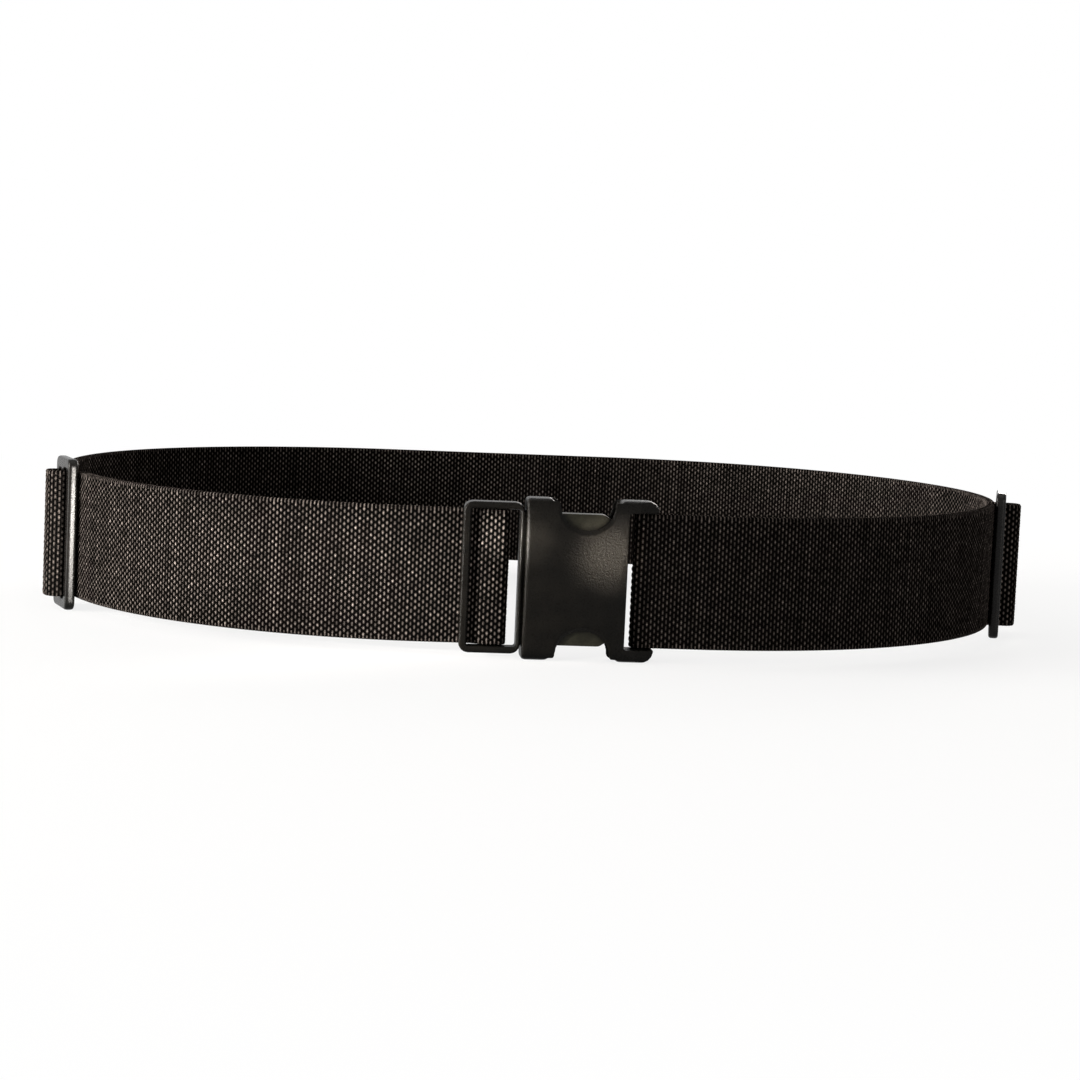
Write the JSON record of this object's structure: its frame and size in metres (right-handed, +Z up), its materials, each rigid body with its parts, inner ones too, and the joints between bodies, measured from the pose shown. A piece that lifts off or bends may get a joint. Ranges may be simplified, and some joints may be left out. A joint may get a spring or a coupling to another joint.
{
  "type": "dive weight belt",
  "caption": "Waist belt of flat black webbing that carries dive weights, with a side-release buckle in front and a tri-glide slide at each side.",
  "frame": {"origin": "middle of the belt's box, on the surface that it stands on", "axes": "+X to the right of someone who faces the buckle, -Y out of the front of the buckle, +Z up as worn"},
  "size_m": [0.3974, 0.2926, 0.06],
  "materials": {
    "webbing": "coarse woven black webbing",
    "buckle_plastic": "fine-grained satin black",
    "slide_plastic": "smooth satin black"
  },
  "bodies": {
    "belt": {"back_webbing": "webbing", "left_side_webbing": "webbing", "right_front_webbing": "webbing", "right_hump_webbing": "webbing", "right_tail_webbing": "webbing", "buckle_socket": "buckle_plastic"},
    "plug_side": {"buckle_plug": "buckle_plastic", "left_front_webbing": "webbing", "left_hump_webbing": "webbing", "left_tail_webbing": "webbing"},
    "upper_catch": {"upper_catch": "buckle_plastic"},
    "lower_catch": {"lower_catch": "buckle_plastic"},
    "left_slide": {"left_slide": "slide_plastic"},
    "right_slide": {"right_slide": "slide_plastic"}
  },
  "joints": [
    {"name": "buckle_pull", "type": "slide", "parent": "belt", "child": "plug_side", "axis": [-1, 0, 0], "range_m": [0, 0.04], "deforming": ["left_side_webbing"]},
    {"name": "upper_catch_press", "type": "hinge", "parent": "plug_side", "child": "upper_catch", "pos_m": [-0.0145, -0.1398, 0.046], "axis": [0, -1, 0], "range_deg": [0, 12]},
    {"name": "lower_catch_press", "type": "hinge", "parent": "plug_side", "child": "lower_catch", "pos_m": [-0.0145, -0.1398, 0.014], "axis": [0, 1, 0], "range_deg": [0, 12]},
    {"name": "left_slide_adjust", "type": "hinge", "parent": "plug_side", "child": "left_slide", "pos_m": [-0.05, 0.0035, 0.03], "axis": [0, 0, -1], "range_deg": [-10, 10], "deforming": ["left_hump_webbing", "left_tail_webbing"]},
    {"name": "right_slide_adjust", "type": "hinge", "parent": "belt", "child": "right_slide", "pos_m": [0.05, 0.0035, 0.03], "axis": [0, 0, 1], "range_deg": [-10, 10], "deforming": ["right_hump_webbing", "right_tail_webbing"]}
  ],
  "couplings": [
    {"joint": "lower_catch_press", "follows": "upper_catch_press", "ratio": 1}
  ]
}
